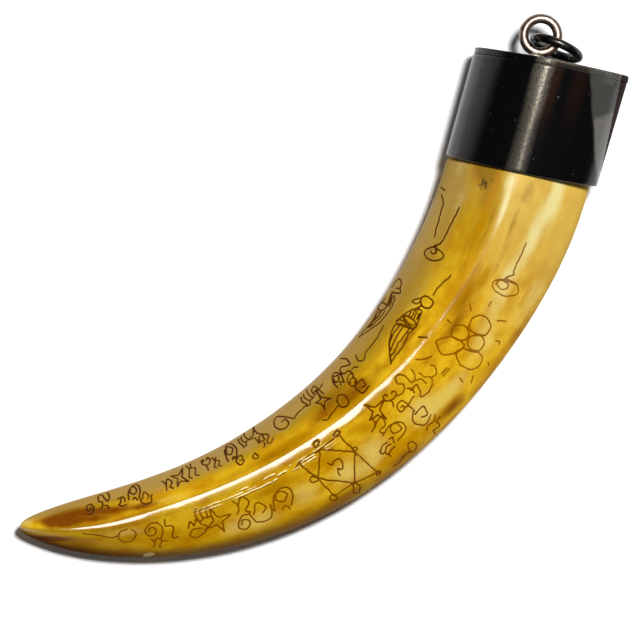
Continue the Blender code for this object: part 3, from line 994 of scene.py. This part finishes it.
def make_tusk():
    tusk = copy_of_solid("tusk", "engraved_tusk")
    round_off(tusk)
    wear_ridge(tusk)
    only(tusk)
    bpy.ops.object.duplicate()
    fine = named("fine_tusk")
    round_off(fine)
    surface = BVHTree.FromObject(fine, bpy.context.evaluated_depsgraph_get())
    engrave(tusk, surface)
    bpy.data.objects.remove(fine)
    stain_tusk(tusk.data)
    hand_unevenness(tusk, 5.0, 0.05)
    only(tusk)
    bpy.ops.object.shade_smooth()
    dress(tusk, "amulet", "tusk", tusk_material())


# The cap


def in_cap(x, y, z):
    """A place in the cap's own frame, in millimetres, as a place in the world."""
    turn = Matrix.Translation(Vector((*CAP_PLACE, 0)) * MM) @ Matrix.Rotation(CAP_FACING, 4, "Z")
    return turn @ (Vector((x, y, z)) * MM)


def keep_sheet_edges(piece):
    """Creases the edges of the sheet, so that subdivision leaves them where they are."""
    open_mesh(piece, "EDGE")
    bpy.ops.mesh.edges_select_sharp(sharpness=SHEET_EDGE)
    bpy.ops.transform.edge_crease(value=1.0)
    close_mesh()


def split_long_edges(piece, length, cuts):
    """Cuts the faces that run all along the cap into shorter ones."""
    verts = piece.data.vertices
    ends = [[verts[i].co for i in edge.vertices] for edge in piece.data.edges]
    choose(piece, "EDGE", [(first - second).length > length * MM for first, second in ends])
    bpy.ops.mesh.subdivide(number_cuts=cuts)
    close_mesh()


def shade_sheet(piece):
    """Shades the sheet's flats flat, up to its crisp edges."""
    only(piece)
    bpy.ops.object.shade_smooth_by_angle(angle=math.radians(60))
    apply_modifier(piece, "WEIGHTED_NORMAL", keep_sharp=True)


def cap_place_notes(mesh):
    """Notes how far forward in the cap each point lies, and how far sideways when its slant is taken out."""
    turn = Matrix.Rotation(-CAP_FACING, 4, "Z") @ Matrix.Translation(-Vector((*CAP_PLACE, 0)) * MM)
    places = np.array([turn @ v.co for v in mesh.vertices]) / MM
    add_attribute(mesh, "forward", places[:, 0])
    add_attribute(mesh, "sideways", places[:, 1] + CAP_SLANT * places[:, 0])
    return places[:, 0]


def blackened_material(name, greyness, worn):
    """Sheet metal blackened in a bath, and worn to the colour given where it is rubbed."""
    recipe = Recipe(name)
    step, noise, mix = recipe.step, recipe.noise, recipe.mix
    forward, sideways = recipe.attributes("forward", "sideways")
    x, y, height = recipe.place()
    place = (forward, sideways, height)
    clouds = noise(place, (0.12, 0.3, 0.3), 4.0, 0.6)
    grain = noise(place, (2.2, 4.5, 4.5), 4.0, 0.7)
    specks = noise((x, y, height), (1.7, 1.7, 1.7), 2.0, 0.4)
    tint = noise(place, (0.1, 1.1, 0.2), 3.0, 0.6)

    # A painted reflection lies as grey haze on the outer side, in a wedge that has a brown rim, and on the
    # hollow side all along its edge
    rim = step(forward * 0.07 - 12.3 - sideways + (grain - 0.5) * 0.3, 0.0, 0.25)
    rim = rim * step(height + (clouds - 0.5) * 2.0 + (grain - 0.5), 4.2, 6.2)
    brown_rim = step(rim + (grain - 0.5) * 1.4, 0.1, 0.9) * 0.9
    reflection_wedge = step(forward * 0.37 - 12.0 - sideways + (clouds - 0.5) * 0.9, -0.2, 0.45)
    reflection_wedge = reflection_wedge * step(height + (clouds - 0.5) * 3.0, 2.5, 6.5)
    by_mouth = step(10.5 - forward - (sideways + 10) * 0.6 + (grain - 0.5) * 1.5, -0.9, 1.1)
    patch = step(2.0 - abs(forward - 16.3), 0.0, 1.6) * step(1.6 - abs(sideways + 9.4), 0.0, 1.0)
    bright_painted_reflection = reflection_wedge * step(by_mouth + patch * grain, 0.2, 1.0)
    painted_reflection = step(sideways - 8.7 + (clouds - 0.5) * 1.2, -1.5, 2.0) * 0.75
    painted_reflection = painted_reflection + reflection_wedge * 0.85 * (1 - rim) * step(17.6 - forward, -1.6, 0.4)

    # Brown streaks run beside the ridge and nearer to the outer edge
    by_ridge = step(1.7 - abs(sideways + 0.8), 0.0, 1.5) * step(forward, 2.0, 13.0)
    by_edge = step(2.0 - abs(sideways + 4.9), 0.0, 1.7) * step(forward, 4.0, 14.0)
    brown = (by_ridge + by_edge * 0.5) * step(tint + forward * 0.03, 0.35, 0.9)

    # The solder shows as a broken pale line between the sleeve and the plate
    seam = step(0.3 - abs(forward - 17.35 + (clouds - 0.5) * 0.5), 0.0, 0.15)
    seam = seam * step(0.8 - sideways, 0.0, 1.5) * step(grain + (clouds - 0.5) * 0.8, 0.42, 0.56)
    seam = seam * (0.35 + 0.65 * step(sideways + 4.0, 0.0, 3.0))

    # The ridge is rubbed down to the metal, and so are a few specks
    from_ridge = abs(sideways - CAP_RIDGE - 0.3 + (clouds - 0.5) * 0.8)
    ridge = step(2.0 - from_ridge, 0.0, 1.8) * step(height, 9.0, 12.0)
    bare = ridge * step(grain, 0.3, 0.6) + step(specks, 0.74, 0.78) * 0.5
    bare = bare + greyness * step(1.0 - sideways, 0.0, 3.0)

    # Painted reflection: the grey haze over the black stands in for the room and floor reflected in the
    # sheet
    matte = recipe.layers(
        paint(4, 4, 5),
        (painted_reflection * (0.6 + 0.5 * grain), mix(bright_painted_reflection, paint(80, 79, 76), paint(124, 121, 117))),
        (brown * 0.36, paint(64, 34, 16)),
        (brown_rim, mix(clouds, paint(38, 24, 18), paint(54, 36, 28))),
    )
    recipe.matte_where(brown_rim, matte)
    # The bare metal is painted darker by the mouth and lighter towards the plate: a painted highlight along
    # the ridge
    colour = recipe.layers(
        matte,
        (seam * 0.8, paint(140, 134, 120)),
        (bare, mix(step(forward, 4.0, 18.0), shaded(worn, 0.75), shaded(worn, 1.6))),
    )
    return recipe.finish(
        Base_Color=colour,
        Metallic=step(bare, 0.0, 1.0),
        Roughness=0.2 + grain * 0.12 + ridge * 0.2,
        Normal=recipe.bump(grain * (0.25 + ridge * 0.75) - step(specks, 0.72, 0.8), 0.03),
        Specular_IOR_Level=0.35,
    )


def make_sleeve():
    sleeve = copy_of_solid("cap_sleeve", "sleeve_sheet")
    keep_sheet_edges(sleeve)
    split_long_edges(sleeve, length=8.0, cuts=9)
    round_off(sleeve)
    hand_unevenness(sleeve, 3.5, 0.05, 2)
    cap_place_notes(sleeve.data)
    shade_sheet(sleeve)
    material = blackened_material("blackened sleeve", 0.0, paint(126, 118, 105))
    dress(sleeve, "amulet", "cap_sleeve", material)


def make_plate():
    """The end plate. Its inner side is drawn up to the sleeve, where it is soldered."""
    plate = copy_of_solid("cap_plate", "end_plate")
    keep_sheet_edges(plate)
    round_off(plate)
    forward = cap_place_notes(plate.data)
    choose(plate, "VERT", forward < forward.min() + PLATE_BACK)
    back = -SOLDER_GAP * MM
    bpy.ops.transform.translate(value=(back * math.cos(CAP_FACING), back * math.sin(CAP_FACING), 0))
    close_mesh()
    shade_sheet(plate)
    material = blackened_material("worn end plate", 0.07, paint(120, 113, 100))
    dress(plate, "amulet", "cap_plate", material)


# The rings


def wire_material(name, colour, dark, roughness, tarnish, shade_below):
    """Worn metal wire, painted darker below a given height as a painted shade on its underside."""
    recipe = Recipe(name)
    place = recipe.place()
    clouds = recipe.noise(place, (0.9, 0.9, 0.9), 4.0, 0.6)
    grain = recipe.noise(place, (2.6, 2.6, 2.6), 3.0, 0.6)
    # Painted shade: the wire is darker below this height
    painted_underside_shade = recipe.step(shade_below - place[2] + (clouds - 0.5) * 0.5, -0.3, 0.35)
    tarnished = recipe.step(clouds, 0.5 - tarnish, 0.75)
    return recipe.finish(
        Base_Color=recipe.layers(colour, (tarnished, dark), (painted_underside_shade, shaded(dark, 0.2))),
        Metallic=1.0,
        Roughness=roughness + grain * 0.14,
        Normal=recipe.bump(grain, 0.02),
    )


def make_bail():
    """The split ring of wire, spun from a disc, and the lump of solder at its foot."""
    middle = in_cap(*BAIL_PLACE)
    half_split = BAIL_SPLIT / BAIL_MID_RADIUS / 2
    start = CAP_FACING + math.pi + half_split
    reach = BAIL_MID_RADIUS * MM
    bpy.ops.object.select_all(action="DESELECT")
    bpy.ops.mesh.primitive_circle_add(
        vertices=WIRE_SIDES,
        radius=BAIL_WIRE_RADIUS * MM,
        fill_type="NGON",
        location=middle + Vector((math.cos(start), math.sin(start), 0)) * reach,
        rotation=(math.pi / 2, 0, start),
    )
    bail = named("bail_wire")
    settle(bail)
    bpy.ops.object.mode_set(mode="EDIT")
    bpy.ops.mesh.select_all(action="SELECT")
    bpy.ops.mesh.spin(steps=RING_STEPS, angle=2 * (math.pi - half_split), center=middle, axis=(0, 0, 1))
    bpy.ops.mesh.select_all(action="SELECT")
    bpy.ops.mesh.normals_make_consistent(inside=False)
    close_mesh()
    hand_unevenness(bail, 1.2, 0.03)
    only(bail)
    bpy.ops.object.shade_smooth_by_angle(angle=math.radians(50))
    bright = wire_material(
        "bright worn wire",
        colour=paint(190, 166, 148),
        dark=paint(92, 66, 50),
        roughness=0.26,
        tarnish=0.05,
        shade_below=BAIL_PLACE[2] + 0.3,
    )
    dress(bail, "amulet", "bail_ring", bright)
    bpy.ops.object.select_all(action="DESELECT")
    foot_place = in_cap(CAP_LENGTH + FOOT_STAND, BAIL_PLACE[1], BAIL_PLACE[2])
    bpy.ops.mesh.primitive_uv_sphere_add(segments=48, ring_count=24, radius=MM, location=foot_place)
    foot = named("bail_solder")
    foot.scale = FOOT_SIZE
    foot.rotation_euler.z = CAP_FACING
    settle(foot)
    hand_unevenness(foot, 0.8, 0.15, 2)
    only(foot)
    bpy.ops.object.shade_smooth()
    solder = wire_material(
        "rough pale solder",
        colour=paint(214, 206, 190),
        dark=paint(120, 110, 96),
        roughness=0.5,
        tarnish=0.1,
        shade_below=BAIL_PLACE[2] - 0.4,
    )
    dress(foot, "amulet", None, solder)


def make_jump_ring():
    """The loose ring, hung from the bail where the joint is."""
    hinge = Vector(frame["joints"][0]["pos_m"])
    place = Matrix.Translation(hinge) @ Euler(JUMP_TURN, "YXZ").to_matrix().to_4x4()
    bpy.ops.object.select_all(action="DESELECT")
    bpy.ops.mesh.primitive_torus_add(
        major_segments=RING_STEPS,
        minor_segments=WIRE_SIDES,
        major_radius=JUMP_MID_RADIUS * MM,
        minor_radius=JUMP_WIRE_RADIUS * MM,
    )
    jump = named("jump_wire")
    stand = Matrix.Translation((0, 0, -JUMP_DROP * MM)) @ Matrix.Rotation(math.pi / 2, 4, "X")
    jump.matrix_world = place @ stand
    settle(jump)
    hand_unevenness(jump, 1.6, 0.03)
    only(jump)
    bpy.ops.object.shade_smooth()
    black = wire_material(
        "black polished wire",
        colour=paint(84, 82, 78),
        dark=paint(24, 23, 24),
        roughness=0.22,
        tarnish=0.1,
        shade_below=0.0,
    )
    dress(jump, "jump_ring", "jump_ring", black)


# The studio


def floor_material():
    recipe = Recipe("plain white table")
    return recipe.finish(Base_Color=(0.9, 0.9, 0.9), Roughness=0.8)


def make_floor():
    bpy.ops.object.select_all(action="DESELECT")
    bpy.ops.mesh.primitive_plane_add(size=FLOOR_SIZE, location=(0, 0, -FLOOR_DROP))
    floor = named("floor")
    settle(floor)
    floor.data.materials.append(floor_material())


def panel(name, size, strength, distance, tilt, bearing, spin=0.0):
    """A soft panel over the amulet. It leans by tilt from straight above, towards a bearing in the view."""
    light = bpy.data.lights.new(name, "AREA")
    light.shape = "RECTANGLE"
    light.size, light.size_y = size
    light.energy = strength * math.pi * size[0] * size[1]
    lamp = bpy.data.objects.new(name, light)
    tilt, bearing, spin = (math.radians(angle) for angle in (tilt, bearing, spin))
    leant = Matrix.Rotation(VIEW_TURN + bearing, 4, "Z") @ Matrix.Rotation(tilt, 4, "Y")
    lamp.matrix_world = leant @ Matrix.Translation((0, 0, distance)) @ Matrix.Rotation(spin, 4, "Z")
    lamp.visible_camera = False
    bpy.context.scene.collection.objects.link(lamp)


def make_lights():
    panel("key lamp", (0.115, 0.105), strength=152.0, distance=0.64, tilt=22.0, bearing=51.0)
    panel("tube lamp", (0.46, 0.044), strength=3.6, distance=0.7, tilt=20.8, bearing=-164.0, spin=-16.0)
    world = bpy.data.worlds.new("dim room")
    world.use_nodes = True
    sockets = world.node_tree.nodes["Background"].inputs
    sockets["Color"].default_value = (1.0, 0.98, 0.95, 1.0)
    sockets["Strength"].default_value = 0.025
    bpy.context.scene.world = world
    bpy.context.scene.view_settings.view_transform = "Standard"


def make_camera():
    camera = bpy.data.cameras.new("view from above")
    camera.sensor_width = SENSOR
    camera.lens = SENSOR * (VIEW_HEIGHT - VIEW_LEVEL) / VIEW_WIDTH
    seat = bpy.data.objects.new("view from above", camera)
    seat.location = Vector((*VIEW_MIDDLE, VIEW_HEIGHT)) * MM
    seat.rotation_euler = (0, 0, VIEW_TURN)
    bpy.context.scene.collection.objects.link(seat)
    bpy.context.scene.camera = seat


def main():
    make_camera()
    make_lights()
    make_floor()
    make_tusk()
    make_sleeve()
    make_plate()
    make_bail()
    make_jump_ring()


main()
bpy.context.view_layer.update()
